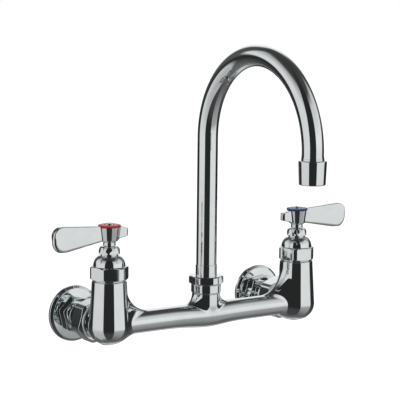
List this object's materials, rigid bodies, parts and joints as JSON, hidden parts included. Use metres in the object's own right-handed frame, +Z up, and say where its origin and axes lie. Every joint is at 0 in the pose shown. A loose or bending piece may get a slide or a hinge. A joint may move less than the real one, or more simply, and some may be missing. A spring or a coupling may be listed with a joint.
{
  "type": "commercial wall faucet",
  "caption": "Chrome wall-mounted bridge faucet with hot and cold quarter-turn lever valves, union connections to the wall and a swivelling gooseneck spout with an aerator.",
  "frame": {"origin": "midway between the two inlets, on the finished wall plane and at inlet height", "axes": "+X along the wall towards the cold side, +Y into the wall, +Z up"},
  "size_m": [0.3152, 0.2272, 0.2707],
  "materials": {
    "polished_chrome": "mirror-polished chrome plate on brass",
    "brass": "machined",
    "black_rubber": "matte",
    "ceramic": "lapped white alumina, opaque",
    "ptfe": "waxy white",
    "white_plastic": "moulded",
    "steel_mesh": "pierced sheet",
    "hot_index": "glossy red",
    "cold_index": "glossy dark blue"
  },
  "bodies": {
    "body": {"faucet_body": "polished_chrome", "hot_wall_flange": "polished_chrome", "hot_inlet_adapter": "polished_chrome", "hot_union_nut": "polished_chrome", "hot_bonnet_nut": "polished_chrome", "hot_packing_nut": "polished_chrome", "hot_union_washer": "black_rubber", "hot_seat_seal": "black_rubber", "hot_fixed_disc": "ceramic", "hot_cartridge_body": "brass", "hot_packing_ring": "ptfe", "cold_wall_flange": "polished_chrome", "cold_inlet_adapter": "polished_chrome", "cold_union_nut": "polished_chrome", "cold_bonnet_nut": "polished_chrome", "cold_packing_nut": "polished_chrome", "cold_union_washer": "black_rubber", "cold_seat_seal": "black_rubber", "cold_fixed_disc": "ceramic", "cold_cartridge_body": "brass", "cold_packing_ring": "ptfe", "spout_adapter": "polished_chrome", "swivel_washer": "ptfe", "spout_nut": "polished_chrome"},
    "hot_lever": {"hot_stem": "brass", "hot_stem_rings": "black_rubber", "hot_moving_disc": "ceramic", "hot_lever_handle": "polished_chrome", "hot_index_ring": "hot_index", "hot_handle_screw": "polished_chrome"},
    "cold_lever": {"cold_stem": "brass", "cold_stem_rings": "black_rubber", "cold_moving_disc": "ceramic", "cold_lever_handle": "polished_chrome", "cold_index_ring": "cold_index", "cold_handle_screw": "polished_chrome"},
    "spout": {"spout_shank": "polished_chrome", "spout_rings": "black_rubber", "spout_tube": "polished_chrome", "spout_tip": "polished_chrome", "aerator_housing": "polished_chrome", "aerator_washer": "black_rubber", "aerator_insert": "white_plastic", "aerator_screen": "steel_mesh"}
  },
  "joints": [
    {"name": "hot_handle_turn", "type": "hinge", "parent": "body", "child": "hot_lever", "pos_m": [-0.1016, -0.063, 0.08], "axis": [0, 0, 1], "range_deg": [0, 90]},
    {"name": "cold_handle_turn", "type": "hinge", "parent": "body", "child": "cold_lever", "pos_m": [0.1016, -0.063, 0.08], "axis": [0, 0, -1], "range_deg": [0, 90]},
    {"name": "spout_swivel", "type": "hinge", "parent": "body", "child": "spout", "pos_m": [0, -0.063, 0.03], "axis": [0, 0, 1], "range_deg": [-105, 105]}
  ]
}
